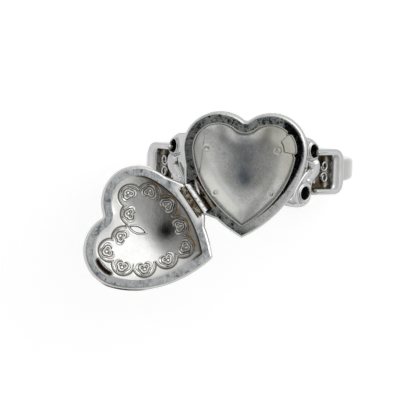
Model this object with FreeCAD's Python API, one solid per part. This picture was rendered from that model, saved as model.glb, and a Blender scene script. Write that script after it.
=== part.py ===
# Heart locket ring: a finger ring whose head is a heart-shaped box with a hinged, puffed lid.
# Row frame in millimetres: origin at the centre of the finger bore, +Y along the finger (towards
# the heart's notch), +Z up through the locket, +X to the wearer's right of the heart.
# The lid is modelled closed and saved swung open to its stop.
import FreeCAD, Part
import math
import os

from FreeCAD import Vector

# ---------------------------------------------------------------- driving dimensions
BORE_R = 9.07             # finger bore, a US size 8
BAND_T = 1.7              # radial thickness of the shank
BAND_W = 2.3              # width of the shank along the finger
BAND_EDGE = 0.5           # rounding of the shank's outer edges
BAND_EASE = 0.12          # easing of the shank's inner edges
BAND_R = BORE_R + BAND_T
SEAT_Z = 9.8              # flat on top of the shank, where the box stands
WALL_H = 2.1              # height of the box wall
RIM_Z = SEAT_Z + WALL_H   # height of the hinge axis, between the two rims
PART_GAP = 0.015          # each rim stands this far off the hinge axis

HEART_AT = (0.3, -0.4)    # the heart's own centre, a little off the shank's
LOBE = (2.57, 2.56)       # centre of the right lobe's arc, from the heart's centre
LOBE_R = 3.68
NOTCH_Y = 5.35            # bottom of the notch
SIDE_R = 9.71             # flank arc
SIDE_FROM = -5.7          # degrees, where the lobe arc hands over to the flank
SIDE_TO = -39.7           # degrees, where the flank hands over to the lower arc
LOW_R = 13.3              # lower arc, down to the tip
TIP_R = 0.22

RIM_W = 1.05              # width of the base's rim
LID_RIM_W = 0.95          # width of the lid's rim, narrower so that the lid clears the bezel
WALL_EDGE = 0.3           # rounding of the outer edges
FLOOR_T = 0.35
LINER_T = 0.22
BEZEL_H = 0.40            # how far the liner's edge stands above the rim
BOWL_DEPTH = 1.25
LID_H = 0.95              # height of the lid's frame
DOME_RISE = 1.0
DOME_T = 0.28
FIELD_Z = 0.55            # depth of the scalloped field below the lid's rim
FIELD_T = 0.25

TONGUE_TURN = 31.0        # degrees round the right lobe, opposite the hinge
TONGUE_SPREAD = 20.0      # half the tongue's length, in degrees round the lobe
KEEPER_SPREAD = 25.0

HINGE = (-4.82, -2.61)    # middle of the hinge, from the heart's centre
HINGE_TURN = 36.0         # degrees between the heart's axis and the hinge
LID_OPEN = 172.0          # degrees from closed to the stop, where the flats meet
FLAT_GAP = 0.03           # each flat stands this far off the hinge axis
FLAT_HALF = 1.95          # half the length of the flat along the hinge
SLOT_HALF = 1.76
SLOT_REACH = 1.12         # how far the base's hinge slot goes in
SLOT_DEPTH = 1.35         # how far its floor lies below the hinge axis
KNUCKLE_R = 0.68
BARREL_HALF = 1.60
LID_KNUCKLE_HALF = 1.10
KNUCKLE_GAP = 0.03
PIN_R = 0.25
PIN_PLAY = 0.02
PIN_HEAD_R = 0.38
PIN_HEAD_T = 0.12

MOTIF_TIP = (0.0, -3.38)  # centre of the small heart at the tip, from the heart's centre
MOTIF_PAIRS = (           # centres of the others on the right half, and where their notches point
    (1.74, -2.12, 128.0), (3.36, -0.26, 150.0), (3.95, 1.88, 180.0),
    (3.05, 3.76, 232.0), (1.22, 2.98, 285.0))
MOTIF_W = 1.66            # width of one motif
MOTIF_WALL = 0.2
MOTIF_RELIEF = 0.3
FIELD_INSET = 2.45        # the scalloped field's width, before the scallops are cut out
SCALLOP_R = 1.0
MARQUISE_Y = 1.7

SLOPE = 44.0              # degrees, tilt of the bows and knots on the shoulders
SLOPE_AT = (6.3, 9.78)    # x and z of a point on that slope
SADDLE_DEPTH = 0.42
BOW_T = 1.1
UPPER_BOW = Vector(0.7, 2.0, 0)        # centres on the slope, across and along the finger
UPPER_BOW_R = 1.48
UPPER_HOLE = Vector(1.2, 2.12, 0)
LOWER_BOW = Vector(-0.2, -2.16, 0)
LOWER_BOW_R = 1.45
LOWER_HOLE = Vector(0.15, -2.12, 0)
BOW_EDGE = 0.4
COLLAR_R = 11.85
COLLAR_IN_R = 9.7
COLLAR_HALF_W = 2.32
COLLAR_RAIL = 0.65
COLLAR_FROM = 40.0        # degrees from +Z
COLLAR_TO = 61.0
COLLAR_END = 10.0         # degrees taken up by the collar's end bar
CURLS_AT = 47.6

UP = Vector(0, 0, 1)
TURN = math.radians(HINGE_TURN)
HINGE_DIR = Vector(math.sin(TURN), -math.cos(TURN), 0)      # along the pin, towards the tip
HINGE_IN = Vector(math.cos(TURN), math.sin(TURN), 0)        # from the pin towards the box
HINGE_MID = Vector(HINGE[0] + HEART_AT[0], HINGE[1] + HEART_AT[1], RIM_Z)


# ---------------------------------------------------------------- small helpers
def at(x, y, z):
    """A point given from the heart's centre, in the row frame."""
    return Vector(x + HEART_AT[0], y + HEART_AT[1], z)


def arc(centre, radius, start, end):
    """Arc in a level plane, from one angle to the other in degrees, either way round."""
    points = []
    for angle in (start, (start + end) / 2, end):
        a = math.radians(angle)
        points.append(centre + Vector(radius * math.cos(a), radius * math.sin(a), 0))
    return Part.Arc(*points).toShape()


def polygon(points):
    return Part.Face(Part.makePolygon(list(points) + [points[0]]))


def annulus_sector(r_in, r_out, start, end, half_width):
    """Block between two radii about the Y axis; angles in degrees from +Z towards +X."""
    def point(r, deg):
        a = math.radians(deg)
        return Vector(r * math.sin(a), -half_width, r * math.cos(a))
    middle = (start + end) / 2
    edges = [
        Part.Arc(point(r_out, start), point(r_out, middle), point(r_out, end)).toShape(),
        Part.makeLine(point(r_out, end), point(r_in, end)),
        Part.Arc(point(r_in, end), point(r_in, middle), point(r_in, start)).toShape(),
        Part.makeLine(point(r_in, start), point(r_out, start)),
    ]
    return Part.Face(Part.Wire(edges)).extrude(Vector(0, 2 * half_width, 0))


def edges_where(shape, test):
    return [e for e in shape.Edges if test(e)]


def level_edges(shape, z):
    """Edges that lie wholly at one height."""
    return edges_where(shape, lambda e: abs(e.BoundBox.ZMin - z) < 1e-4
                       and abs(e.BoundBox.ZMax - z) < 1e-4)


def mirrored(shape):
    return shape.mirror(Vector(0, 0, 0), Vector(1, 0, 0))


def save(name, shape):
    solids = shape.Solids
    assert solids and shape.isValid(), name
    out = solids[0] if len(solids) == 1 else Part.makeCompound(solids)
    out.exportStep("parts/" + name + ".step")
    print(f"{name:18s} solids {len(solids):2d}  volume {sum(s.Volume for s in solids):8.3f}")


# ---------------------------------------------------------------- the heart outline
def heart_arcs(inset):
    """Centres, radii and tangent angles of the right half, moved in by inset."""
    lobe = Vector(*LOBE, 0)
    a1, a2 = math.radians(SIDE_FROM), math.radians(SIDE_TO)
    side = lobe + Vector(math.cos(a1), math.sin(a1), 0) * (LOBE_R - SIDE_R)
    low = side + Vector(math.cos(a2), math.sin(a2), 0) * (SIDE_R - LOW_R)
    # the notch arc touches the lobe arc from outside and passes through the notch's bottom
    drop = NOTCH_Y - LOBE[1]
    notch_r = (LOBE[0] ** 2 + drop ** 2 - LOBE_R ** 2) / (2 * (LOBE_R - drop))
    notch = Vector(0, NOTCH_Y + notch_r, 0)
    to_lobe = lobe - notch
    notch_angle = math.degrees(math.atan2(to_lobe.y, to_lobe.x))
    tip_y = low.y - math.sqrt((LOW_R - inset - TIP_R) ** 2 - low.x ** 2)
    tip = Vector(0, tip_y, 0)
    to_tip = tip - low
    tip_angle = math.degrees(math.atan2(to_tip.y, to_tip.x))
    return {
        "notch": (notch, notch_r + inset, notch_angle),
        "lobe": (lobe, LOBE_R - inset, notch_angle + 180.0, SIDE_FROM),
        "side": (side, SIDE_R - inset, SIDE_FROM, SIDE_TO),
        "low": (low, LOW_R - inset, SIDE_TO, tip_angle),
        "tip": (tip, TIP_R, tip_angle),
    }


def heart_wire(inset, z):
    """Closed outline of eight tangent arcs, inset from the heart's edge, at height z."""
    arcs = heart_arcs(inset)
    lift = at(0, 0, z)

    def flipped(centre):
        return Vector(-centre.x, centre.y, 0)

    right = [arcs[name] for name in ("lobe", "side", "low")]
    notch, notch_r, notch_angle = arcs["notch"]
    tip, tip_r, tip_angle = arcs["tip"]
    edges = [arc(notch + lift, notch_r, -180 - notch_angle, notch_angle)]
    edges += [arc(c + lift, r, a, b) for c, r, a, b in right]
    edges.append(arc(tip + lift, tip_r, tip_angle, -180 - tip_angle))
    edges += [arc(flipped(c) + lift, r, 180 - b, 180 - a) for c, r, a, b in reversed(right)]
    return Part.Wire(edges)


def heart_prism(inset, z_low, z_high):
    return Part.Face(heart_wire(inset, z_low)).extrude(UP * (z_high - z_low))


def puffed(sections):
    """Solid heart through (inset, z) outlines, its surface smooth from one to the next."""
    return Part.makeLoft([heart_wire(inset, z) for inset, z in sections], True, False)


def puff_sections(inset_edge, inset_top, z_edge, rise, steps=5):
    """Quarter-ellipse profile from the edge up to the top (a negative rise makes a bowl)."""
    found = []
    for i in range(steps):
        turn = math.radians(90.0 * i / (steps - 1))
        inset = inset_edge + (inset_top - inset_edge) * (1 - math.cos(turn))
        found.append((inset, z_edge + rise * math.sin(turn)))
    return found


def on_hinge(along, inward, up=0.0):
    """A point given along the pin, in towards the box, and up from the hinge axis."""
    return HINGE_MID + HINGE_DIR * along + HINGE_IN * inward + UP * up


def hinge_box(along_from, along_to, in_from, in_to, up_from, up_to):
    corners = [(along_from, in_from), (along_to, in_from), (along_to, in_to), (along_from, in_to)]
    return polygon([on_hinge(a, i, up_from) for a, i in corners]).extrude(UP * (up_to - up_from))


def hinge_rod(radius, along_from, along_to):
    return Part.makeCylinder(radius, along_to - along_from, on_hinge(along_from, 0), HINGE_DIR)


def rim_prism(z_low, z_high):
    """The heart with its side carried out to a flat along the hinge."""
    flat_top, flat_low = on_hinge(-FLAT_HALF, FLAT_GAP), on_hinge(FLAT_HALF, FLAT_GAP)
    corners = [at(-6.0, 1.3, 0), flat_top, flat_low, at(-2.4, -4.6, 0), at(0, 0, 0)]
    seat = polygon([Vector(p.x, p.y, z_low) for p in corners]).extrude(UP * (z_high - z_low))
    return heart_prism(0, z_low, z_high).fuse(seat).removeSplitter()


def hinge_draft():
    """Wedge that leans the base's flat out, square to where the lid's flat comes to rest."""
    lean = math.tan(math.radians(180.0 - LID_OPEN))
    section = [(FLAT_GAP, -PART_GAP), (FLAT_GAP - WALL_H * lean, -WALL_H), (0.5, -WALL_H),
               (0.5, -PART_GAP)]
    face = polygon([on_hinge(-FLAT_HALF, inward, up) for inward, up in section])
    return face.extrude(HINGE_DIR * (2 * FLAT_HALF))


def base_prism(z_high):
    """The base's whole outside, from the seat up."""
    return rim_prism(SEAT_Z, z_high).fuse(hinge_draft()).removeSplitter()


# ---------------------------------------------------------------- the ring
def make_shank():
    profile = Part.makePlane(BAND_W, BAND_T, Vector(BORE_R, BAND_W / 2, 0), Vector(0, 0, 1),
                             Vector(0, -1, 0))
    ring = profile.revolve(Vector(0, 0, 0), Vector(0, 1, 0), 360)
    ring = ring.makeFillet(BAND_EDGE, edges_where(
        ring, lambda e: e.BoundBox.XMax > BAND_R - 0.01 and e.BoundBox.YLength < 0.01))
    ring = ring.makeFillet(BAND_EASE, edges_where(
        ring, lambda e: e.BoundBox.XMax < BORE_R + 0.01 and e.BoundBox.YLength < 0.01))
    above = Part.makeBox(30, 10, 10, Vector(-15, -5, SEAT_Z))
    return ring.cut(above)


def bore_and_band():
    return Part.makeCylinder(BAND_R, 20, Vector(0, -10, 0), Vector(0, 1, 0))


def make_saddle():
    """Wedge between the shank and the box, hidden under the right-hand knot."""
    slope = math.radians(SLOPE)
    x_low = 7.3

    def under_slope(x):
        return SLOPE_AT[1] - (x - SLOPE_AT[0]) * math.tan(slope) - SADDLE_DEPTH / math.cos(slope)

    y = -BAND_W / 2
    outline = [Vector(3.2, y, SEAT_Z), Vector(5.6, y, SEAT_Z), Vector(x_low, y, under_slope(x_low)),
               Vector(x_low, y, 6.0), Vector(6.0, y, 6.0)]
    return polygon(outline).extrude(Vector(0, BAND_W, 0)).cut(bore_and_band())


def tilted(shape):
    """From the flat working plane, where z 0 is the slope's surface, to the right shoulder."""
    shape.rotate(Vector(0, 0, 0), Vector(0, 1, 0), SLOPE)
    shape.translate(Vector(SLOPE_AT[0], 0, SLOPE_AT[1]))
    return shape


def teardrop(big, big_r, small, small_r):
    """Face around two circles and their outer tangents."""
    between = small - big
    heading = math.degrees(math.atan2(between.y, between.x))
    spread = math.degrees(math.acos((big_r - small_r) / between.Length))
    big_arc = arc(big, big_r, heading + spread, heading + 360 - spread)
    small_arc = arc(small, small_r, heading - spread, heading + spread)
    lines = [
        Part.makeLine(big_arc.Vertexes[1].Point, small_arc.Vertexes[0].Point),
        Part.makeLine(small_arc.Vertexes[1].Point, big_arc.Vertexes[0].Point),
    ]
    return Part.Face(Part.Wire([big_arc, lines[0], small_arc, lines[1]]))


def make_bow(centre, radius, apex, hole, hole_r):
    """One looped end of the bow: a rounded teardrop plate with a deep round recess."""
    plate = teardrop(centre, radius, apex, 0.3).extrude(UP * BOW_T)
    plate.translate(UP * -BOW_T)
    plate = plate.makeFillet(BOW_EDGE, level_edges(plate, 0))
    recess = Part.makeCylinder(hole_r, BOW_T, hole - UP * (BOW_T - 0.25), UP)
    plate = plate.cut(recess)
    plate = plate.makeFillet(0.15, edges_where(
        plate, lambda e: abs(e.BoundBox.ZMax) < 1e-4 and e.BoundBox.ZLength < 1e-4
        and e.BoundBox.DiagonalLength < 3.2 * hole_r))
    return tilted(plate)


def make_knot():
    """The bow's middle, running down the slope into the collar."""
    half = [(-0.15, 1.0), (1.2, 0.8), (2.4, 0.95)]
    upper = Part.Arc(*[Vector(x, y, 0) for x, y in half]).toShape()
    lower = Part.Arc(*[Vector(x, -y, 0) for x, y in reversed(half)]).toShape()
    ends = [Part.makeLine(upper.Vertexes[1].Point, lower.Vertexes[0].Point),
            Part.makeLine(lower.Vertexes[1].Point, upper.Vertexes[0].Point)]
    plate = Part.Face(Part.Wire([upper, ends[0], lower, ends[1]])).extrude(UP * (BOW_T + 0.12))
    plate.translate(UP * -BOW_T)
    plate = plate.makeFillet(0.3, level_edges(plate, 0.12))
    return tilted(plate)


def make_collar():
    """Cushion-shaped frame that grips the shank; open towards the heart."""
    block = annulus_sector(COLLAR_IN_R, COLLAR_R, COLLAR_FROM, COLLAR_TO, COLLAR_HALF_W)
    end = math.radians(COLLAR_TO)
    end_normal = Vector(math.cos(end), 0, -math.sin(end))

    def radial_at_end(e):
        on_end = all(abs(v.Point.dot(end_normal)) < 1e-3 for v in e.Vertexes)
        return on_end and e.BoundBox.YLength < 1e-3

    block = block.makeFillet(0.9, edges_where(block, radial_at_end))

    def on_outside(e):
        middle = e.valueAt((e.FirstParameter + e.LastParameter) / 2)
        points = [v.Point for v in e.Vertexes] + [middle]
        outer = all(abs(math.hypot(p.x, p.z) - COLLAR_R) < 1e-3 for p in points)
        start = math.radians(COLLAR_FROM)
        at_start = all(abs(p.x * math.cos(start) - p.z * math.sin(start)) < 1e-3 for p in points)
        return outer and not at_start

    block = block.makeFillet(0.38, edges_where(block, on_outside))
    pocket = annulus_sector(BAND_R, COLLAR_R + 1, COLLAR_FROM - 5, COLLAR_TO - COLLAR_END,
                            COLLAR_HALF_W - COLLAR_RAIL)
    return block.cut(pocket).cut(Part.makeCylinder(BORE_R + 0.2, 20, Vector(0, -10, 0),
                                                   Vector(0, 1, 0)))


def make_curls():
    """Two small scroll rings on the band, inside the collar."""
    middle = math.radians(CURLS_AT)
    out = Vector(math.sin(middle), 0, math.cos(middle))
    rings = []
    for y in (-0.52, 0.52):
        centre = out * (BAND_R + 0.13) + Vector(0, y, 0)
        rings.append(Part.makeTorus(0.38, 0.16, centre, out))
    return Part.makeCompound(rings)


def make_shoulder(side, shank, placed):
    """Saddle, bow, knot, collar and curls of one side; placed puts them on that side."""
    box = placed(base_prism(RIM_Z))
    band = bore_and_band()
    saddle = make_saddle()
    knot = make_knot().cut(box).cut(band).cut(saddle)
    collar = make_collar().cut(shank).cut(knot).cut(saddle)
    upper = make_bow(UPPER_BOW, UPPER_BOW_R, Vector(1.35, 0.3, 0), UPPER_HOLE, 0.6)
    upper = upper.cut(box).cut(band).cut(saddle).cut(knot).cut(collar)
    lower = make_bow(LOWER_BOW, LOWER_BOW_R, Vector(1.2, -0.1, 0), LOWER_HOLE, 0.62)
    lower = lower.cut(box).cut(band).cut(saddle).cut(knot).cut(collar)
    curls = make_curls().cut(band).cut(knot).cut(collar)
    for name, shape in (("saddle", saddle), ("knot", knot), ("collar", collar),
                        ("curls", curls), ("upper_bow", upper), ("lower_bow", lower)):
        save(side + "_" + name, placed(shape))


# ---------------------------------------------------------------- the box
def make_base_wall():
    wall = base_prism(RIM_Z - PART_GAP)
    wall = wall.makeFillet(WALL_EDGE, level_edges(wall, RIM_Z - PART_GAP))
    wall = wall.cut(heart_prism(RIM_W, SEAT_Z - 1, RIM_Z + 1))
    slot = hinge_box(-SLOT_HALF, SLOT_HALF, -1, SLOT_REACH, -SLOT_DEPTH, 1)
    return wall.cut(slot)


def make_base_floor():
    return heart_prism(RIM_W, SEAT_Z, SEAT_Z + FLOOR_T)


def bowl(inset, edge_z, depth):
    """Solid of the bowl's inside or outside, from the bezel's top down."""
    top = RIM_Z + BEZEL_H
    straight = heart_prism(inset, edge_z, top)
    return puffed(puff_sections(inset, 3.45, edge_z, -depth)).fuse(straight)


def rivet_places():
    for x, y in ((3.75, 2.5), (2.8, -1.9)):
        yield at(x, y, SEAT_Z + FLOOR_T)
        yield at(-x, y, SEAT_Z + FLOOR_T)


def make_rivets():
    pins = []
    for place in rivet_places():
        height = RIM_Z - BOWL_DEPTH + 0.28 - place.z
        pin = Part.makeCylinder(0.28, height, place, UP)
        pins.append(pin.makeFillet(0.08, level_edges(pin, place.z + height)))
    return Part.makeCompound(pins)


def make_liner():
    outside = bowl(RIM_W, RIM_Z - 0.35, BOWL_DEPTH - 0.35 + LINER_T)
    inside = bowl(RIM_W + LINER_T, RIM_Z - 0.35, BOWL_DEPTH - 0.35)
    return outside.cut(inside)


def lobe_bar(r_in, r_out, spread, z_low, z_high):
    """Curved bar concentric with the right lobe."""
    start, end = TONGUE_TURN - spread, TONGUE_TURN + spread
    centre = at(*LOBE, z_low)
    outer, inner = arc(centre, r_out, start, end), arc(centre, r_in, end, start)
    ends = [Part.makeLine(outer.Vertexes[1].Point, inner.Vertexes[0].Point),
            Part.makeLine(inner.Vertexes[1].Point, outer.Vertexes[0].Point)]
    face = Part.Face(Part.Wire([outer, ends[0], inner, ends[1]]))
    return face.extrude(UP * (z_high - z_low))


def make_catch_tongue():
    r = LOBE_R - RIM_W
    return lobe_bar(r, r + 0.12, TONGUE_SPREAD, RIM_Z + 0.08, RIM_Z + 0.3)


# ---------------------------------------------------------------- the hinge
def make_base_knuckles():
    knuckles = []
    for side in (-1, 1):
        near, far = side * (LID_KNUCKLE_HALF + KNUCKLE_GAP), side * BARREL_HALF
        low, high = min(near, far), max(near, far)
        rod = hinge_rod(KNUCKLE_R, low, high)
        foot = hinge_box(low, high, FLAT_GAP, 0.62, -SLOT_DEPTH, -0.3)
        knuckles.append(rod.fuse(foot).cut(hinge_rod(PIN_R, -3, 3)).removeSplitter())
    return Part.makeCompound(knuckles)


def make_hinge_pin():
    pin = hinge_rod(PIN_R, -BARREL_HALF - PIN_HEAD_T, BARREL_HALF + PIN_HEAD_T)
    for side in (-1, 1):
        ends = sorted((side * BARREL_HALF, side * (BARREL_HALF + PIN_HEAD_T)))
        pin = pin.fuse(hinge_rod(PIN_HEAD_R, *ends))
    return pin.removeSplitter()


# ---------------------------------------------------------------- the lid, closed
LID_Z = RIM_Z + PART_GAP
DOME_EDGE_Z = LID_Z + LID_H


def make_lid_rim():
    frame = rim_prism(LID_Z, DOME_EDGE_Z)
    frame = frame.makeFillet(WALL_EDGE, level_edges(frame, LID_Z))
    frame = frame.cut(heart_prism(LID_RIM_W, LID_Z - 1, DOME_EDGE_Z + 1))
    frame = frame.cut(hinge_rod(KNUCKLE_R + 0.1, -SLOT_HALF, SLOT_HALF))
    r = LOBE_R - LID_RIM_W
    return frame.cut(lobe_bar(r - 0.3, r + 0.25, KEEPER_SPREAD, LID_Z - 1, LID_Z + 0.5))


def make_catch_keeper():
    """Thin bar across the notch in the lid's rim, just outside the catch tongue."""
    r = LOBE_R - LID_RIM_W
    return lobe_bar(r + 0.07, r + 0.16, KEEPER_SPREAD, LID_Z + 0.05, LID_Z + 0.2)


def dome_inside(sink=0.0):
    """Solid of the space under the dome; sink lowers it for the relief on the underside."""
    edge_z = DOME_EDGE_Z - sink
    rise = DOME_RISE - DOME_T
    return puffed(puff_sections(LID_RIM_W, 3.45, edge_z, rise))


def make_lid_dome():
    outside = puffed(puff_sections(0.3, 3.3, DOME_EDGE_Z, DOME_RISE))
    return outside.cut(dome_inside())


def motif_places():
    """(centre, direction in to the heart) of each motif, one at the tip and five pairs."""
    yield Vector(*MOTIF_TIP, 0), Vector(0, 1, 0)
    for x, y, heading in MOTIF_PAIRS:
        a = math.radians(heading)
        for side in (1, -1):
            yield Vector(side * x, y, 0), Vector(side * math.cos(a), math.sin(a), 0)


def small_heart(centre, inward, width):
    """Face of a small heart whose notch looks inward: two lobes and a round base."""
    r = width / 4
    side = Vector(inward.y, -inward.x, 0)
    heading = math.degrees(math.atan2(inward.y, inward.x))
    lobes = [centre + side * r + inward * (r * 0.6), centre - side * r + inward * (r * 0.6)]
    right, left = (arc(lobes[0], r, heading - 90, heading + 90),
                   arc(lobes[1], r, heading - 90, heading + 90))
    base = arc(centre + inward * (r * 0.6), 2 * r, heading + 90, heading + 270)
    return Part.Face(Part.Wire([right, left, base]))


def relief_band():
    """Thin layer on the dome's underside, where the relief lives."""
    return dome_inside().cut(dome_inside(MOTIF_RELIEF))


def make_motifs():
    band = relief_band()
    found = []
    for centre, inward in motif_places():
        lift = at(0, 0, LID_Z)
        ring = small_heart(centre, inward, MOTIF_W).cut(
            small_heart(centre, inward, MOTIF_W - 2 * MOTIF_WALL))
        found.append(ring.translated(lift).extrude(UP * 3).common(band))
    return Part.makeCompound(found)


def make_field():
    """Scalloped frame just inside the lid's rim."""
    z = LID_Z + FIELD_Z
    field = heart_prism(LID_RIM_W, z, z + FIELD_T).cut(heart_prism(FIELD_INSET, z - 1, z + 1))
    for centre, _ in motif_places():
        field = field.cut(Part.makeCylinder(SCALLOP_R, 3, at(centre.x, centre.y, z - 1), UP))
    return field


def make_marquise():
    """Pointed oval ring that hangs from the notch."""
    def oval(half_length, half_width, z):
        ends = [at(0, MARQUISE_Y + half_length, z), at(0, MARQUISE_Y - half_length, z)]
        right = Part.Arc(ends[0], at(half_width, MARQUISE_Y, z), ends[1]).toShape()
        left = Part.Arc(ends[1], at(-half_width, MARQUISE_Y, z), ends[0]).toShape()
        return Part.Face(Part.Wire([right, left]))
    ring = oval(0.95, 0.42, LID_Z).cut(oval(0.65, 0.25, LID_Z))
    return ring.extrude(UP * 3).common(relief_band())


def make_lid_knuckle():
    rod = hinge_rod(KNUCKLE_R, -LID_KNUCKLE_HALF, LID_KNUCKLE_HALF)
    leaf = hinge_box(-LID_KNUCKLE_HALF, LID_KNUCKLE_HALF, 0, 1.2, 0.22, LID_H + PART_GAP)
    leaf = leaf.cut(make_lid_rim()).cut(heart_prism(LID_RIM_W, RIM_Z - 3, RIM_Z + 3))
    return rod.fuse(leaf).cut(hinge_rod(PIN_R + PIN_PLAY, -3, 3)).removeSplitter()


def opened(shape):
    """From the closed position to the open one."""
    turned = shape.copy()
    turned.rotate(HINGE_MID, HINGE_DIR, LID_OPEN)
    return turned


# ---------------------------------------------------------------- build
def build():
    os.makedirs("parts", exist_ok=True)
    shank = make_shank()
    save("shank", shank)
    make_shoulder("right", shank, lambda shape: shape)
    make_shoulder("left", shank, mirrored)

    rivets = make_rivets()
    save("base_wall", make_base_wall())
    save("base_floor", make_base_floor())
    save("base_liner", make_liner().cut(rivets))
    save("liner_rivets", rivets)
    save("catch_tongue", make_catch_tongue())
    save("base_knuckles", make_base_knuckles())
    save("hinge_pin", make_hinge_pin())

    save("lid_rim", opened(make_lid_rim()))
    save("lid_dome", opened(make_lid_dome()))
    save("catch_keeper", opened(make_catch_keeper()))
    save("lid_field", opened(make_field()))
    save("heart_motifs", opened(make_motifs()))
    save("marquise_loop", opened(make_marquise()))
    save("lid_knuckle", opened(make_lid_knuckle()))


build()
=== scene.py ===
import math

import bmesh
import bpy
import numpy as np
from mathutils import Matrix, Vector


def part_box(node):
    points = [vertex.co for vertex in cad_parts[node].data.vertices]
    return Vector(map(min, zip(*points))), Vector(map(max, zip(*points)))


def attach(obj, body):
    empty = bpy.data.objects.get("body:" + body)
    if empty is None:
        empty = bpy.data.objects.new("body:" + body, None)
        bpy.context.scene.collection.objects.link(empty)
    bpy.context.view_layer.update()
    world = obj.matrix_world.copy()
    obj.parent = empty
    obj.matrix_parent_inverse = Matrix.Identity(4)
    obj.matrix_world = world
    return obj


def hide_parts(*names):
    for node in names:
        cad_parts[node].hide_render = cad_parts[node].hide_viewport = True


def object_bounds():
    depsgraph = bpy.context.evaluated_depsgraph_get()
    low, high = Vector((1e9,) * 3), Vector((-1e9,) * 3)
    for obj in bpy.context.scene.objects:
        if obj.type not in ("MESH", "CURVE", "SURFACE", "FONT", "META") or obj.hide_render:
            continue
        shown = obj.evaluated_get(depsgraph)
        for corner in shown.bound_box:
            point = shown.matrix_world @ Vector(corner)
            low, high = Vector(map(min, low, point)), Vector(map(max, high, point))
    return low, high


# Heart locket ring. Lengths in this script are in millimetres until a mesh is written.
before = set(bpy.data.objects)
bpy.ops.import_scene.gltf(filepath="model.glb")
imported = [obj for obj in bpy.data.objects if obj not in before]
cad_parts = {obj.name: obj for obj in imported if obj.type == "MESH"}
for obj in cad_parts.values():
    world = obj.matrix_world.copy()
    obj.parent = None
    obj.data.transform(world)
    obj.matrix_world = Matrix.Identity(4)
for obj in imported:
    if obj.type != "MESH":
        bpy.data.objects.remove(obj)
CAD_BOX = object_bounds()
MM = 0.001

# ---------- dimensions, as in the CAD
BORE_R, BAND_R, BAND_W = 9.07, 10.77, 2.3
LOBE, LOBE_R, NOTCH_Y = (2.57, 2.56), 3.68, 5.35
SIDE_R, SIDE_FROM, SIDE_TO = 9.71, -5.7, -39.7
LOW_R, TIP_R = 13.3, 0.22
RIM_W, LID_RIM_W = 1.05, 0.95
BEZEL_H = 0.40
LID_H, DOME_RISE, DOME_T = 0.95, 1.0, 0.28
FIELD_Z = 0.55
HINGE, HINGE_TURN, LID_OPEN = (-4.82, -2.61), 36.0, 172.0
SLOT_DEPTH = 1.35  # of the hinge's slot, under its axis
SLOPE, SLOPE_AT, BOW_T = 44.0, (6.3, 9.78), 1.1
COLLAR_R, COLLAR_IN_R, COLLAR_HALF_W, COLLAR_RAIL = 11.85, 9.7, 2.32, 0.65
COLLAR_FROM, COLLAR_TO, COLLAR_END, CURLS_AT = 40.0, 61.0, 10.0, 47.6
MOTIF_TIP = (0.0, -3.38)
MOTIF_PAIRS = (  # centres on the right half, and where the notches point
    (1.74, -2.12, 128.0), (3.36, -0.26, 150.0), (3.95, 1.88, 180.0),
    (3.05, 3.76, 232.0), (1.22, 2.98, 285.0))
MARQUISE_Y = 1.7

# ---------- places that are finer here than in the CAD, and a little off it
CATCH_TURN = 18.0  # degrees round the right lobe; the CAD's tongue is at 31
TONGUE_REACH = 0.08  # how far the bowl's edge bulges at the catch
RIVETS = ((3.3, 2.55), (-3.85, 2.55), (2.8, -1.8), (-2.8, -1.85))
SCALLOP_R = 0.97

wall_low, wall_high = (np.array(corner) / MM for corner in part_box("base_wall"))
SEAT_Z = wall_low[2]
PART_GAP = 0.015
RIM_Z = wall_high[2] + PART_GAP
LOBE_TOP = LOBE[1] + LOBE_R
HEART_AT = ((wall_low[0] + wall_high[0]) / 2, wall_high[1] - LOBE_TOP)
LID_Z = RIM_Z + PART_GAP
DOME_EDGE_Z = LID_Z + LID_H

turn = math.radians(HINGE_TURN)
HINGE_DIR = Vector((math.sin(turn), -math.cos(turn), 0))
HINGE_MID = Vector((HINGE[0] + HEART_AT[0], HINGE[1] + HEART_AT[1], RIM_Z))
OPEN_LID = (Matrix.Translation(HINGE_MID) @ Matrix.Rotation(math.radians(LID_OPEN), 4, HINGE_DIR)
            @ Matrix.Translation(-HINGE_MID))
TO_HEART = Matrix.Translation(Vector((HEART_AT[0], HEART_AT[1], 0)))
HINGE_IN = Vector((math.cos(turn), math.sin(turn), 0))  # from the hinge towards the base
LID_NORMAL = OPEN_LID.to_3x3() @ Vector((0, 0, -1))
UP = (0, 0, 1)
FAN_AT = np.array((0.0, 0.9))  # where the rings of the bowl and the dome shrink to


# ---------- small maths helpers
def smooth(edge0, edge1, x):
    t = np.clip((x - edge0) / (edge1 - edge0), 0.0, 1.0)
    return t * t * (3 - 2 * t)


def bump_at(x, centre, width):
    return np.exp(-((x - centre) / width) ** 2)


def spot_at(x, y, centre_x, centre_y, width):
    return bump_at(np.hypot(x - centre_x, y - centre_y), 0, width)


def spot_at(x, y, centre_x, centre_y, width):
    return bump_at(np.hypot(x - centre_x, y - centre_y), 0, width)


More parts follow.
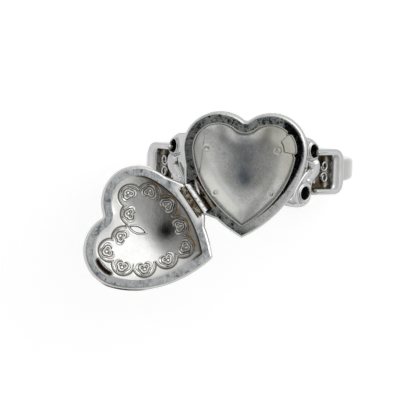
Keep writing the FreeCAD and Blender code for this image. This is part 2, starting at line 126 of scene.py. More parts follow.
# ---------- the heart outline
def heart_arcs(inset):
    """(centre, radius, start, end, side) of the right half; side is 1 where the arc is convex."""
    lobe = np.array(LOBE)
    a1, a2 = math.radians(SIDE_FROM), math.radians(SIDE_TO)
    side = lobe + np.array((math.cos(a1), math.sin(a1))) * (LOBE_R - SIDE_R)
    low = side + np.array((math.cos(a2), math.sin(a2))) * (SIDE_R - LOW_R)
    drop = NOTCH_Y - LOBE[1]
    notch_r = (LOBE[0] ** 2 + drop ** 2 - LOBE_R ** 2) / (2 * (LOBE_R - drop))
    notch = np.array((0.0, NOTCH_Y + notch_r))
    notch_angle = math.degrees(math.atan2(LOBE[1] - notch[1], LOBE[0]))
    tip = np.array((0.0, low[1] - math.sqrt((LOW_R - inset - TIP_R) ** 2 - low[0] ** 2)))
    tip_angle = math.degrees(math.atan2(tip[1] - low[1], tip[0] - low[0]))
    return [(notch, notch_r + inset, -90.0, notch_angle, -1),
            (lobe, LOBE_R - inset, notch_angle + 180, SIDE_FROM, 1),
            (side, SIDE_R - inset, SIDE_FROM, SIDE_TO, 1),
            (low, LOW_R - inset, SIDE_TO, tip_angle, 1),
            (tip, TIP_R, tip_angle, -90.0, 1)]


SAMPLES = (14, 90, 50, 46, 10)  # points on each arc of the right half


def heart_loop(inset):
    """Closed loop of points, clockwise from the notch; the same count at every inset."""
    right = []
    for (centre, r, start, end, _), count in zip(heart_arcs(inset), SAMPLES):
        angles = np.radians(np.linspace(start, end, count, endpoint=False))
        right.append(centre + r * np.stack((np.cos(angles), np.sin(angles)), axis=1))
    right.append([[0.0, centre[1] - TIP_R]])  # below the tip's centre, the last one
    right = np.concatenate(right)
    left = right[-2:0:-1] * (-1, 1)
    return np.concatenate((right, left))


def loop_and_outward(inset):
    """The loop's points and the unit directions outwards at them."""
    points = heart_loop(inset)
    out = points - heart_loop(inset + 0.3)
    return points, out / np.linalg.norm(out, axis=1)[:, None]


def heart_depth(x, y):
    """Distance in from the heart's edge, positive inside."""
    x = np.abs(x)
    best = np.full(x.shape, 1e9)
    sign_depth = np.zeros(x.shape)
    for centre, r, start, end, side in heart_arcs(0):
        dx, dy = x - centre[0], y - centre[1]
        away = np.hypot(dx, dy)
        angle = np.degrees(np.arctan2(dy, dx))
        low, high = sorted((start, end))
        angle = low + np.mod(angle - low, 360.0)
        within = angle <= high + 1e-6
        depth = (r - away) * side
        closer = within & (np.abs(depth) < best)
        best = np.where(closer, np.abs(depth), best)
        sign_depth = np.where(closer, depth, sign_depth)
    return sign_depth


# ---------- the puffed height field
CELL = 0.05
FIELD_X = np.arange(-6.5, 6.5 + CELL / 2, CELL)
FIELD_Y = np.arange(-6.9, 6.5 + CELL / 2, CELL)
GRID_X, GRID_Y = np.meshgrid(FIELD_X, FIELD_Y)
DEPTH = heart_depth(GRID_X, GRID_Y)


def blurred(values, radius, times=3):
    """Repeated box blur over the grid."""
    count = int(radius / CELL)
    kernel = np.ones(2 * count + 1) / (2 * count + 1)
    for _ in range(times):
        for axis in (0, 1):
            values = np.apply_along_axis(lambda r: np.convolve(
                np.pad(r, count, mode="edge"), kernel, "valid"), axis, values)
    return values


def puff(edge, reach, soft):
    """0 at the edge to 1 in the middle: steep at the edge, with no crease along the axis."""
    t = np.clip((DEPTH - edge) / reach, 0, 1)
    raw = np.sqrt(1 - (1 - t) ** 2)
    eased = blurred(raw, soft)
    mix = smooth(edge, edge + 1.3, DEPTH)
    return raw * (1 - mix) + eased * mix


def sample(field, x, y):
    """Bilinear look-up."""
    fx = np.clip((x - FIELD_X[0]) / CELL, 0, len(FIELD_X) - 1.001)
    fy = np.clip((y - FIELD_Y[0]) / CELL, 0, len(FIELD_Y) - 1.001)
    ix, iy = fx.astype(int), fy.astype(int)
    u, v = fx - ix, fy - iy
    return (field[iy, ix] * (1 - u) * (1 - v) + field[iy, ix + 1] * u * (1 - v)
            + field[iy + 1, ix] * (1 - u) * v + field[iy + 1, ix + 1] * u * v)


BOWL_FIELD = puff(RIM_W, 1.8, 0.4)
DOME_FIELD = puff(LID_RIM_W, 1.2, 0.4)
OUTER_FIELD = puff(0.3, 4.0, 0.6)


def dome_inside_z(x, y):
    dish = np.exp(-((x - 0.2) ** 2 + (y + 0.1) ** 2) / 18.0)
    return DOME_EDGE_Z + (DOME_RISE - DOME_T) * dish * sample(DOME_FIELD, x, y)


# ---------- mesh building
def add_piece(name, verts, faces, body, stands_for, material, attrs, matrix=None,
              outward=True):
    """Makes a mesh piece from millimetre points, with smooth shading and float attributes."""
    verts = np.asarray(verts, dtype=float)
    if matrix is not None:
        m = np.array(matrix)
        verts = verts @ m[:3, :3].T + m[:3, 3]
    mesh = bpy.data.meshes.new(name)
    mesh.from_pydata((verts * MM).tolist(), [], faces)
    mesh.validate()
    for key, values in attrs.items():
        layer = mesh.attributes.new(key, "FLOAT", "POINT")
        layer.data.foreach_set("value", np.asarray(values, dtype=np.float32))
    if outward:
        bm = bmesh.new()
        bm.from_mesh(mesh)
        bmesh.ops.recalc_face_normals(bm, faces=bm.faces)
        bm.to_mesh(mesh)
        bm.free()
    mesh.polygons.foreach_set("use_smooth", [True] * len(mesh.polygons))
    mesh.materials.append(material)
    obj = bpy.data.objects.new(name, mesh)
    bpy.context.scene.collection.objects.link(obj)
    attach(obj, body)
    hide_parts(*stands_for)
    return obj


def loft(rings, close_loop=True, cap_start=False, cap_end=False):
    """Faces between rings of equal count, whose points are stacked one after another."""
    faces = []
    count, total = len(rings[0]), len(rings)
    last = count if close_loop else count - 1
    for k in range(total - 1):
        a, b = k * count, (k + 1) * count
        for i in range(last):
            j = (i + 1) % count
            faces.append((a + i, a + j, b + j, b + i))
    if cap_start:
        faces.append(tuple(range(count)))
    if cap_end:
        faces.append(tuple(range((total - 1) * count, total * count))[::-1])
    return np.concatenate(rings), faces


def lifted(points, height_of):
    """Flat points raised to the height that height_of gives them."""
    return np.column_stack((points, height_of(*points.T)))


def star_rings(outline, height_of, steps):
    """Rings that shrink from the outline towards the middle of the heart."""
    return [lifted(FAN_AT + (outline - FAN_AT) * (1 - t), height_of) for t in steps]


def grid_faces(cols, rows, keep):
    """Quads of a grid whose four corners are kept, and the points that they use."""
    faces = []
    for j in range(rows - 1):
        for i in range(cols - 1):
            a = j * cols + i
            quad = (a, a + 1, a + cols + 1, a + cols)
            if all(keep[q] for q in quad):
                faces.append(quad)
    used = sorted({k for f in faces for k in f})
    index = {k: n for n, k in enumerate(used)}
    return [tuple(index[k] for k in f) for f in faces], used


def joined(parts):
    """One mesh from several pairs of points and faces."""
    faces, start = [], 0
    for verts, own in parts:
        faces += [tuple(v + start for v in f) for f in own]
        start += len(verts)
    return np.concatenate([verts for verts, _ in parts]), faces


# ---------- materials
class Nodes:
    """One node tree, with short names for the nodes that this script uses."""

    def __init__(self, tree, coordinates):
        self.nodes, self.links = tree.nodes, tree.links
        self.coords = self.add("TexCoord").outputs[coordinates]

    def add(self, kind, inputs=(), **settings):
        """A new node, with its settings and with what its sockets are given."""
        node = self.nodes.new("ShaderNode" + kind)
        for key, value in settings.items():
            setattr(node, key, value)
        for key, value in dict(inputs).items():
            self.feed(node.inputs[key], value)
        return node

    def feed(self, socket, value):
        """Gives a socket a link, a colour as a tuple, or another value."""
        if isinstance(value, bpy.types.NodeSocket):
            self.links.new(value, socket)
        else:
            socket.default_value = (*value, 1) if isinstance(value, tuple) else value

    def dot(self, vector, direction):
        unit = Vector(direction).normalized()
        return self.add("VectorMath", {0: vector, 1: unit},
                        operation="DOT_PRODUCT").outputs["Value"]

    def place(self, direction):
        """Distance along a direction; in metres in a material."""
        return self.dot(self.coords, direction)

    def ramp(self, value, low, high, to_low=0.0, to_high=1.0):
        return self.add("MapRange", {"Value": value, "From Min": low, "From Max": high,
                                     "To Min": to_low, "To Max": to_high},
                        interpolation_type="SMOOTHSTEP").outputs["Result"]

    def span(self, value, low, high):
        """0 to 1 between two distances in millimetres."""
        return self.ramp(value, low * MM, high * MM)

    def maths(self, operation, a, b=0.0):
        return self.add("Math", {0: a, 1: b}, operation=operation).outputs["Value"]

    def times(self, a, b):
        return self.maths("MULTIPLY", a, b)

    def plus(self, a, b):
        return self.maths("ADD", a, b)

    def minus(self, a, b):
        return self.maths("SUBTRACT", a, b)

    def mix(self, factor, a, b, share=1.0, blend="MIX"):
        """From a to b by factor, which first is multiplied by share."""
        if share != 1.0:
            factor = self.times(factor, share)
        return self.add("Mix", {"Factor": factor, "A": a, "B": b},
                        data_type="RGBA", blend_type=blend).outputs["Result"]


class Look(Nodes):
    """A procedural material; colour, roughness and height are set before done()."""

    def __init__(self, name, colour, roughness, metallic=1.0):
        self.material = bpy.data.materials.new(name)
        self.material.use_nodes = True
        super().__init__(self.material.node_tree, "Object")
        self.shader = self.nodes["Principled BSDF"]
        self.feed(self.shader.inputs["Metallic"], metallic)
        self.feed(self.shader.inputs["Base Color"], colour)
        self.feed(self.shader.inputs["Roughness"], roughness)
        self.colour = self.roughness = self.height = None

    def noise(self, size, detail=4.0, rough=0.55, stretch=(1, 1, 1), rotation=(0, 0, 0)):
        """Noise whose features are size millimetres across; stretch lengthens them."""
        scale = [1.0 / (size * MM * s) for s in stretch]
        vector = self.add("Mapping", {"Vector": self.coords, "Rotation": list(rotation),
                                      "Scale": scale}).outputs["Vector"]
        return self.add("TexNoise", {"Vector": vector, "Scale": 1.0, "Detail": detail,
                                     "Roughness": rough}).outputs["Fac"]

    def facing(self, direction):
        """Cosine between the surface's own normal and a direction in the frame."""
        return self.dot(self.add("TexCoord").outputs["Normal"], direction)

    def outside(self, centre, radius):
        """Metres outside an upright cylinder, which is given in millimetres from the heart."""
        offset = [-(a + b) * MM for a, b in zip(HEART_AT, centre)] + [0]
        flat = self.add("VectorMath", {0: self.coords, 1: [1, 1, 0], 2: offset},
                        operation="MULTIPLY_ADD").outputs["Vector"]
        length = self.add("VectorMath", {0: flat}, operation="LENGTH").outputs["Value"]
        return self.minus(length, radius * MM)

    def attribute(self, name):
        return self.add("Attribute", attribute_name=name).outputs["Fac"]

    def by_hinge(self):
        """Distance from the hinge's middle towards the base, and along the axis either way."""
        inwards = self.minus(self.place(HINGE_IN), HINGE_MID.dot(HINGE_IN) * MM)
        along = self.minus(self.place(HINGE_DIR), HINGE_MID.dot(HINGE_DIR) * MM)
        return inwards, self.maths("ABSOLUTE", along)

    def done(self, bump=0.0, distance=0.02):
        for value, key in ((self.colour, "Base Color"), (self.roughness, "Roughness")):
            if value is not None:
                self.feed(self.shader.inputs[key], value)
        if self.height is not None:
            node = self.add("Bump", {"Strength": bump, "Distance": distance * MM,
                                     "Height": self.height})
            self.feed(self.shader.inputs["Normal"], node.outputs["Normal"])
        return self.material


def polished_silver():
    """Plain silver, with painted shade on upright walls, and painted shade with brown tarnish in
    the hollows.
    """
    look = Look("polished_silver", (0.62, 0.62, 0.62), 0.1)
    cloud = look.noise(2.2, 3)
    hollow = look.attribute("hollow")
    stain = look.times(look.ramp(hollow, 0.45, 1.0), look.ramp(look.noise(0.5), 0.3, 0.6))
    bright = look.mix(look.ramp(cloud, 0.35, 0.7), (0.58, 0.58, 0.58), (0.49, 0.50, 0.505))
    # painted shade: upright walls are made darker than faces that look up or down
    upright = look.ramp(look.maths("ABSOLUTE", look.facing(UP)), 0.72, 0.25)
    bright = look.mix(upright, bright, (0.40, 0.40, 0.395))
    # painted shade with patina: darker and browner in the hollows, near black in the deepest
    shade_and_patina = look.mix(look.ramp(hollow, 0.1, 0.5), bright, (0.33, 0.31, 0.25))
    shade_and_patina = look.mix(look.ramp(hollow, 0.5, 0.9), shade_and_patina, (0.12, 0.11, 0.085))
    look.colour = look.mix(stain, shade_and_patina, (0.07, 0.04, 0.015))
    scratch = look.noise(0.05, 2, 0.5, (1, 14, 6))
    look.roughness = look.plus(look.ramp(cloud, 0.3, 0.7, 0.06, 0.14), look.times(hollow, 0.45))
    look.height = look.plus(look.times(look.noise(0.9, 2), 1.2), look.times(scratch, 0.12))
    return look.done(0.35, 0.02)


# near black for the bottoms of the bows' holes: painted shade in the holes
def hole_shade_material():
    look = Look("painted_hole_shade", (0.006, 0.006, 0.006), 0.6, 0.0)
    look.feed(look.shader.inputs["Specular IOR Level"], 0.1)
    return look.done()


def satin_bowl():
    """Soft grey silver, olive to the right, with a painted dark reflection (a faint band under the
    notch and a darker spot in the middle), and painted shade on the lower left and on walls that
    face the light.
    """
    look = Look("satin_silver", (0.75, 0.75, 0.72), 0.3)
    cloud = look.noise(1.8, 4, 0.6)
    warm = look.mix(look.ramp(cloud, 0.35, 0.68), (0.66, 0.665, 0.66), (0.56, 0.56, 0.525))
    grain = look.ramp(look.noise(0.22, 4, 0.65), 0.35, 0.65, 0.86, 1.08)
    warm = look.mix(grain, (0.0, 0.0, 0.0), warm)
    olive = look.span(look.place((0.8, 0.5, 0)), 2.0, 4.5)
    warm = look.mix(olive, warm, (0.44, 0.43, 0.36), 0.6)
    # painted shade: darker towards the lower left
    left = look.span(look.place((-0.75, -0.6, 0)), 0.8, 3.2)
    warm = look.mix(left, warm, (0.45, 0.46, 0.46), 0.9)
    # painted shade: walls that face the bright side are made darker
    lit = look.ramp(look.facing((0.80, 0.58, 0)), 0.16, 0.42)
    warm = look.mix(lit, warm, (0.30, 0.30, 0.28), 0.9)
    # the cloud attribute is a painted dark reflection: a band under the notch and a spot in the
    # middle
    warm = look.mix(look.attribute("cloud"), warm, (0.24, 0.27, 0.30))
    look.colour = look.mix(look.ramp(look.attribute("hollow"), 0.2, 1.0), warm, (0.2, 0.18, 0.14))
    brushed = look.noise(0.06, 3, 0.6, (1, 9, 4), (0, 0, 0.3))
    look.roughness = look.ramp(look.plus(brushed, look.noise(0.6, 3)), 0.6, 1.4, 0.18, 0.28)
    look.height = look.plus(look.times(brushed, 0.25), look.noise(0.9, 4))
    return look.done(0.35, 0.03)


def base_rim():
    """Dark and mottled on the flat top, bright on the rounded edge and the walls; a painted dark
    reflection on the top's inner part to the right.
    """
    look = Look("rim_silver", (0.5, 0.5, 0.5), 0.2)
    blotch = look.plus(look.times(look.noise(0.6, 5, 0.7), 0.65),
                       look.times(look.noise(0.15, 3, 0.6), 0.35))
    grey = look.mix(look.ramp(blotch, 0.42, 0.58), (0.075, 0.085, 0.085), (0.40, 0.42, 0.40))
    broad = look.ramp(look.noise(1.6, 2, 0.5), 0.46, 0.62)
    grey = look.mix(broad, grey, (0.50, 0.52, 0.48), 0.55)
    left = look.span(look.place((-1, 0, 0)), 2.6, 4.2)
    grey = look.mix(left, grey, (0.05, 0.055, 0.055), 0.5)
    pit = look.ramp(look.noise(0.42, 4, 0.7), 0.55, 0.61)
    grey = look.mix(pit, grey, (0.015, 0.017, 0.022))
    y = look.place((0, 1, 0))
    lower = look.times(look.span(look.place((1, -0.5, 0)), 2.4, 3.6), look.span(y, 1.8, 0.2))
    lower = look.times(lower, look.span(y, -6.2, -5.0))
    tip = look.span(look.place((0, -1, 0)), 5.4, 6.6)
    grey = look.mix(tip, grey, (0.05, 0.055, 0.055), 0.8)
    grey = look.mix(lower, grey, (0.80, 0.81, 0.80), 0.85)
    fleck = look.ramp(look.noise(0.11, 2, 0.5), 0.64, 0.70)
    grey = look.mix(fleck, grey, (0.9, 0.91, 0.93))
    upwards, height = look.facing(UP), look.place(UP)
    flat = look.ramp(upwards, 0.96, 0.992)
    low = look.span(height, RIM_Z - 0.5, RIM_Z - 1.3)
    side = look.mix(low, (0.42, 0.42, 0.41), (0.25, 0.245, 0.22))
    edge = look.mix(look.ramp(upwards, 0.30, 0.75), side, (0.66, 0.66, 0.655))
    edge = look.mix(look.ramp(upwards, -0.5, -0.9), edge, (0.52, 0.52, 0.51))
    top = look.mix(flat, edge, grey)
    # the slot beside the hinge: painted near black as painted shade, with a brown-grey strip of
    # tarnish along its middle
    inwards, along = look.by_hinge()
    strip = look.times(look.span(inwards, 0.78, 0.84), look.span(inwards, 1.30, 1.22))
    mottled = look.ramp(look.noise(0.3, 3), 0.4, 0.6)
    tarnish = look.mix(mottled, (0.55, 0.51, 0.43), (0.34, 0.28, 0.20))
    slot_colour = look.mix(strip, (0.03, 0.015, 0.01), tarnish)
    inside = look.times(look.span(inwards, -0.1, 0.05), look.span(inwards, 1.7, 1.6))
    inside = look.times(inside, look.span(along, 1.80, 1.74))
    slot_floor = HINGE_MID.z - SLOT_DEPTH
    inside = look.times(inside, look.span(height, slot_floor - 0.15, slot_floor - 0.05))
    # on the right the inner part of the rim is smoother, and painted near black: a painted
    # reflection of the dark overhead
    width = look.plus(look.ramp(y, -4.0 * MM, 2.2 * MM, 0.08 * MM, 0.60 * MM),
                      look.times(look.noise(0.8, 2), 0.10 * MM))
    round_lobe = look.outside(LOBE, LOBE_R - RIM_W)
    round_side = look.outside(heart_arcs(0)[2][0], SIDE_R - RIM_W)
    upper = look.span(y, 1.7, 2.3)
    from_lip = look.plus(look.times(round_lobe, upper),
                         look.times(round_side, look.minus(1.0, upper)))
    band = look.span(look.minus(from_lip, width), 0.10, -0.10)
    right = look.ramp(look.plus(look.place((1, -0.35, 0)),
                                look.times(look.noise(0.7, 3), 1.8 * MM)),
                      2.9 * MM, 3.5 * MM)
    polish_and_dark_reflection = look.times(look.times(band, right), flat)
    speck = look.ramp(look.noise(0.13, 2, 0.5), 0.67, 0.70)
    black = look.mix(speck, (0.02, 0.02, 0.024), (0.7, 0.7, 0.75))
    look.colour = look.mix(polish_and_dark_reflection, look.mix(inside, top, slot_colour), black)
    outer = look.times(right, look.minus(1.0, upper))
    rough = look.ramp(blotch, 0.35, 0.65, 0.40, 0.24)
    look.roughness = look.minus(rough, look.times(polish_and_dark_reflection, 0.20))
    look.height = look.times(look.noise(0.35, 4, 0.6), look.minus(1.0, look.times(outer, 0.6)))
    return look.done(0.35, 0.02)


def lid_rim():
    """Streaked blue-grey on the flat face, bright at its edges, with a painted highlight on the
    flat face beside the hinge.
    """
    look = Look("lid_rim_silver", (0.6, 0.62, 0.65), 0.2)
    streak = look.plus(look.times(look.noise(0.5, 5, 0.65), 0.6),
                       look.times(look.noise(0.12, 3, 0.6, (1, 5, 3), (0, 0, 0.6)), 0.4))
    grey = look.mix(look.ramp(streak, 0.40, 0.60), (0.31, 0.325, 0.335), (0.58, 0.595, 0.60))
    broad = look.ramp(look.noise(2.0, 2, 0.5), 0.40, 0.60)
    grey = look.mix(broad, grey, (0.64, 0.655, 0.66), 0.45)
    blot = look.ramp(look.noise(0.75, 4, 0.65), 0.57, 0.64)
    grey = look.mix(blot, grey, (0.13, 0.145, 0.18), 0.8)
    flat = look.ramp(look.facing(LID_NORMAL), 0.96, 0.992)
    inwards, along = look.by_hinge()
    # painted highlight: the flat face beside the hinge, along its straight cut, made near white
    by_hinge = look.times(look.span(inwards, -1.25, -1.0), look.span(along, 2.6, 1.9))
    grey = look.mix(by_hinge, grey, (0.85, 0.85, 0.84))
    edge = look.mix(look.ramp(look.facing(LID_NORMAL), 0.30, 0.75), (0.40, 0.40, 0.395),
                    (0.68, 0.68, 0.675))
    look.colour = look.mix(flat, edge, grey)
    look.roughness = look.ramp(streak, 0.35, 0.65, 0.28, 0.16)
    look.height = look.noise(0.35, 4, 0.6)
    return look.done(0.35, 0.02)


def dome_look():
    """Bright silver with dark lines in the relief that are painted shade with patina, near black
    painted shadows by deep walls and in the slot, a painted darker half and spot towards the hinge,
    and brown marks beside the hinge.
    """
    look = Look("relief_silver", (0.9, 0.9, 0.88), 0.15)
    cloud = look.noise(1.5, 4, 0.6)
    clean = look.mix(look.ramp(cloud, 0.35, 0.7), (0.95, 0.95, 0.94), (0.86, 0.86, 0.84))
    hollow = look.attribute("hollow")
    clean = look.mix(look.attribute("shade"), clean, (0.045, 0.045, 0.04))
    # painted shade with patina: the relief's hollows darker, near black where painted shadows and
    # the deepest grooves push hollow past 1
    shade_and_patina = look.mix(look.ramp(hollow, 0.1, 0.75), clean, (0.20, 0.19, 0.155))
    shade_and_patina = look.mix(look.ramp(hollow, 1.0, 1.6), shade_and_patina, (0.02, 0.005, 0.005))
    stain = look.times(look.attribute("stain"), look.ramp(look.noise(0.7, 4), 0.36, 0.56))
    look.colour = look.mix(stain, shade_and_patina, (0.17, 0.11, 0.045))
    brushed = look.noise(0.05, 3, 0.6, (1, 10, 4), (0, 0, -0.9))
    look.roughness = look.plus(look.ramp(brushed, 0.3, 0.7, 0.05, 0.14), look.times(hollow, 0.2))
    look.height = look.plus(look.times(brushed, 0.4), look.times(look.noise(0.42, 4), 1.5))
    return look.done(0.35, 0.02)


def hinge_look():
    """Bright silver, with brown and olive tarnish on the side away from the base."""
    look = Look("hinge_silver", (0.6, 0.57, 0.5), 0.2)
    patch = look.noise(0.35, 4, 0.6)
    across = look.place(HINGE_IN)
    middle = HINGE_MID.dot(HINGE_IN) * MM
    side = look.ramp(look.plus(across, look.times(patch, 0.3 * MM)),
                     middle - 0.05 * MM, middle + 0.35 * MM)
    worn = look.mix(look.ramp(patch, 0.38, 0.58), (0.36, 0.32, 0.24), (0.07, 0.045, 0.02))
    clean = look.mix(look.ramp(patch, 0.54, 0.66), (0.44, 0.44, 0.43), (0.20, 0.17, 0.13))
    off_seam = look.maths("ABSOLUTE", look.minus(across, middle + 0.02 * MM))
    seam = look.span(off_seam, 0.09, 0.05)
    look.colour = look.mix(seam, look.mix(side, worn, clean), (0.03, 0.02, 0.012))
    look.roughness = look.ramp(patch, 0.4, 0.65, 0.14, 0.34)
    look.height = look.noise(0.12, 3)
    return look.done(0.3, 0.02)


POLISHED = polished_silver()
HOLE_SHADE = hole_shade_material()
SATIN = satin_bowl()
RIM = base_rim()
LID_RIM = lid_rim()
RELIEF = dome_look()
HINGE_LOOK = hinge_look()


# the CAD nodes that stay in view
for node, material in (("base_wall", RIM), ("base_floor", RIM), ("lid_rim", LID_RIM),
                       ("base_knuckles", HINGE_LOOK), ("lid_knuckle", HINGE_LOOK),
                       ("hinge_pin", POLISHED), ("catch_keeper", RELIEF),
                       ("right_saddle", POLISHED), ("left_saddle", POLISHED)):
    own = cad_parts[node].data.materials
    own.clear()
    own.append(material)


# ---------- the base's bowl
FAN_STEPS = np.linspace(0.03, 0.995, 40)


def lobe_polar(x, y):
    """Degrees and distance round the right lobe's centre, for the catch's place."""
    return np.degrees(np.arctan2(y - LOBE[1], x - LOBE[0])), np.hypot(x - LOBE[0], y - LOBE[1])


def make_bowl():
    outline = heart_loop(RIM_W)
    angle, _ = lobe_polar(outline[:, 0], outline[:, 1])
    nearby = (outline[:, 0] > 2.4) & (outline[:, 1] > 0.5)
    tongue = smooth(28, 20, np.abs(angle - CATCH_TURN)) * nearby
    nicks = sum(bump_at(angle, CATCH_TURN + side * 26, 3.5) for side in (-1, 1)) * nearby
    top = RIM_Z + BEZEL_H - 0.02

    def edge_ring(inset, z, share=1.0):
        points, out = loop_and_outward(inset)
        points = points + out * ((tongue * TONGUE_REACH - nicks * 0.20) * share)[:, None]
        return np.column_stack((points, z - nicks * 0.1 * share))

    def bowl_z(x, y):
        depth = sample(BOWL_FIELD, x, y)
        dish = 1 - ((x - 0.25) ** 2 + (y + 0.2) ** 2) / 46.0
        z = top - 0.05 - (0.62 + 0.98 * dish) * depth
        for dx, dy in RIVETS:
            away = np.hypot(x - dx, y - dy)
            z = z + 0.045 * bump_at(away, 0.27, 0.08) - 0.045 * bump_at(away, 0, 0.12)
        turned, reach = lobe_polar(x, y)
        z = z + 0.13 * smooth(27, 21, np.abs(turned - CATCH_TURN)) * smooth(1.2, 1.5, reach)
        return z + 0.04 * smooth(0.06, -0.06, x + 4.45 - 0.10 * y) * smooth(-1.0, 0.5, y)

    rings = [edge_ring(RIM_W + inset, z) for inset, z in (
        (0, RIM_Z - 0.3), (0, top - 0.07), (0.015, top - 0.025), (0.045, top - 0.002),
        (0.08, top), (0.11, top - 0.02))]
    fan_inset = 1.4               # from here inwards the rings shrink towards FAN_AT
    for inset in np.linspace(0.14, fan_inset, 26):
        level = bowl_z(*heart_loop(RIM_W + inset).T)
        rings.append(edge_ring(RIM_W + inset, level, smooth(0.6, 0.1, inset)))
    rings += star_rings(heart_loop(RIM_W + fan_inset), bowl_z, FAN_STEPS)
    verts, faces = loft(rings, cap_end=True)
    x, y, _ = verts.T
    depth = heart_depth(x, y) - RIM_W
    notch = spot_at(x, y, -0.7, 4.0, 0.8)
    lobe = spot_at(x, y, 3.2, 4.6, 0.9)
    hollow = np.clip(0.55 * notch + 0.5 * lobe, 0, 1) * smooth(0.05, 0.25, depth)
    # painted dark reflection, kept in the cloud attribute: a band down from under the notch and a
    # spot in the middle
    band = bump_at(x, -0.1, 1.1) * smooth(-2.0, -0.2, y)
    spot = bump_at(np.hypot(x, (y + 0.4) / 1.25), 0, 0.62)
    cloud = np.clip(0.55 * band * smooth(0.3, 1.0, depth) + 0.8 * spot, 0, 1)
    add_piece("bowl", verts, faces, "ring", ["base_liner", "liner_rivets", "catch_tongue"],
              SATIN, {"hollow": hollow, "cloud": cloud}, TO_HEART)


make_bowl()


# ---------- the lid's shell
def from_hinge(verts):
    """Distance from the hinge's axis on the closed lid."""
    return (verts[:, 0] - HINGE[0]) * math.cos(turn) + (verts[:, 1] - HINGE[1]) * math.sin(turn)


def make_dome():
    def outside_z(x, y):
        return DOME_EDGE_Z + DOME_RISE * sample(OUTER_FIELD, x, y)

    fan_inset, edge_z = 1.6, DOME_EDGE_Z - 0.02
    fan = heart_loop(fan_inset)
    rings = star_rings(fan, dome_inside_z, FAN_STEPS[::-1])
    rings += [lifted(heart_loop(inset), dome_inside_z)
              for inset in np.linspace(fan_inset, LID_RIM_W, 10)]
    rings += [np.insert(heart_loop(inset), 2, edge_z, axis=1) for inset in (0.7, 0.3)]
    edge, out = loop_and_outward(0.06)
    swell = 0.20 * smooth(0.9, 2.4, from_hinge(edge))
    for k in range(9):
        a = math.pi * k / 8
        grow = (swell * math.sin(a) ** 0.8)[:, None]
        rings.append(np.insert(edge + out * grow, 2, edge_z - 0.30 * (1 + math.cos(a)), axis=1))
    rings += [lifted(heart_loop(inset), outside_z) for inset in np.linspace(0.3, fan_inset, 16)]
    rings += star_rings(fan, outside_z, FAN_STEPS)
    verts, faces = loft(rings, cap_start=True, cap_end=True)
    x, y, z = verts.T
    depth = heart_depth(x, y)
    inner = (z < outside_z(x, y) - 0.15) & (depth > LID_RIM_W - 0.1)
    angle, _ = lobe_polar(x, y)
    shadow = bump_at(angle, -22, 26) * (depth < 0.3) * (x > 3)
    # hollow: painted shade with patina beside the rim's inner wall, and the painted shadow at the
    # right lobe's edge
    hollow = 0.9 * smooth(1.6, 1.0, depth) * inner + 1.5 * shadow
    toward = from_hinge(verts)
    stain = smooth(3.2, 1.5, toward) * inner
    upper = smooth(-1.0, 1.5, y)
    shade = 0.55 * smooth(6.6 + 0.4 * upper, 4.9 + 0.2 * upper, toward)
    shade += 0.45 * spot_at(x, y, -0.8, -1.06, 0.9)
    shade *= inner
    add_piece("dome", verts, faces, "lid", ["lid_dome"], RELIEF,
              {"hollow": hollow, "stain": stain, "shade": shade}, OPEN_LID @ TO_HEART)


make_dome()


# ---------- relief inside the lid
def motif_places():
    """Centres and inward directions of the small hearts, as in the CAD."""
    places = [(np.array(MOTIF_TIP), np.array((0.0, 1.0)))]
    for x, y, heading in MOTIF_PAIRS:
        a = math.radians(heading)
        places += [(np.array((side * x, y)), np.array((side * math.cos(a), math.sin(a))))
                   for side in (1, -1)]
    return places


MOTIFS = motif_places()


def small_heart(a, b, size=1.0):
    """Signed distance to a small round-bottomed heart: a across, b towards its notch."""
    a, b = a / size, b / size
    lobes = np.hypot(np.abs(a) - 0.41, b - 0.14) - 0.44
    base = np.hypot(a, b + 0.24) - 0.56
    blend = np.clip(0.15 - np.abs(lobes - base), 0, 1)
    return size * (np.minimum(lobes, base) - blend ** 2 / 0.6)


SINK = 0.05  # how far a patch's edge goes into the dome


def relief_patch(centre, half, cell, height_of):
    """Grid patch on the dome's underside; height_of gives how far it stands off the dome."""
    xs = np.arange(centre[0] - half[0], centre[0] + half[0] + cell, cell)
    ys = np.arange(centre[1] - half[1], centre[1] + half[1] + cell, cell)
    x, y = np.meshgrid(xs, ys)
    x, y = x.ravel(), y.ravel()
    height, hollow = height_of(x, y)
    faces, used = grid_faces(len(xs), len(ys), height > -SINK)
    verts = np.column_stack((x, y, dome_inside_z(x, y) - height))[used]
    return verts, faces, hollow[used]


def add_relief(name, node, verts, faces, attrs):
    add_piece(name, verts, faces, "lid", [node], RELIEF, attrs,
              OPEN_LID @ TO_HEART, outward=False)


def motif_height(centre, inward):
    across = np.array((inward[1], -inward[0]))

    def height(x, y):
        a = (x - centre[0]) * across[0] + (y - centre[1]) * across[1]
        b = (x - centre[0]) * inward[0] + (y - centre[1]) * inward[1]
        s = small_heart(a, b)
        inner = small_heart(a, b, 0.58)
        mound = 0.10 * smooth(0.04, -0.06, s) - 0.12 * smooth(-0.01, 0.12, s)
        ridge = 0.10 * bump_at(s, -0.06, 0.05) + 0.09 * bump_at(inner, -0.02, 0.05)
        curl = 0.08 * spot_at(np.abs(a), b, 0.14, 0.04, 0.06)
        ditch, middle = bump_at(inner, 0.10, 0.045), bump_at(inner, -0.16, 0.05)
        groove = -0.10 * ditch - 0.08 * middle
        # hollow: the grooves painted darker, painted shade with patina
        hollow = np.clip(0.85 * ditch + 0.9 * middle + 0.9 * bump_at(s, 0.03, 0.05), 0, 1)
        return mound + ridge + curl + groove, hollow
    return height


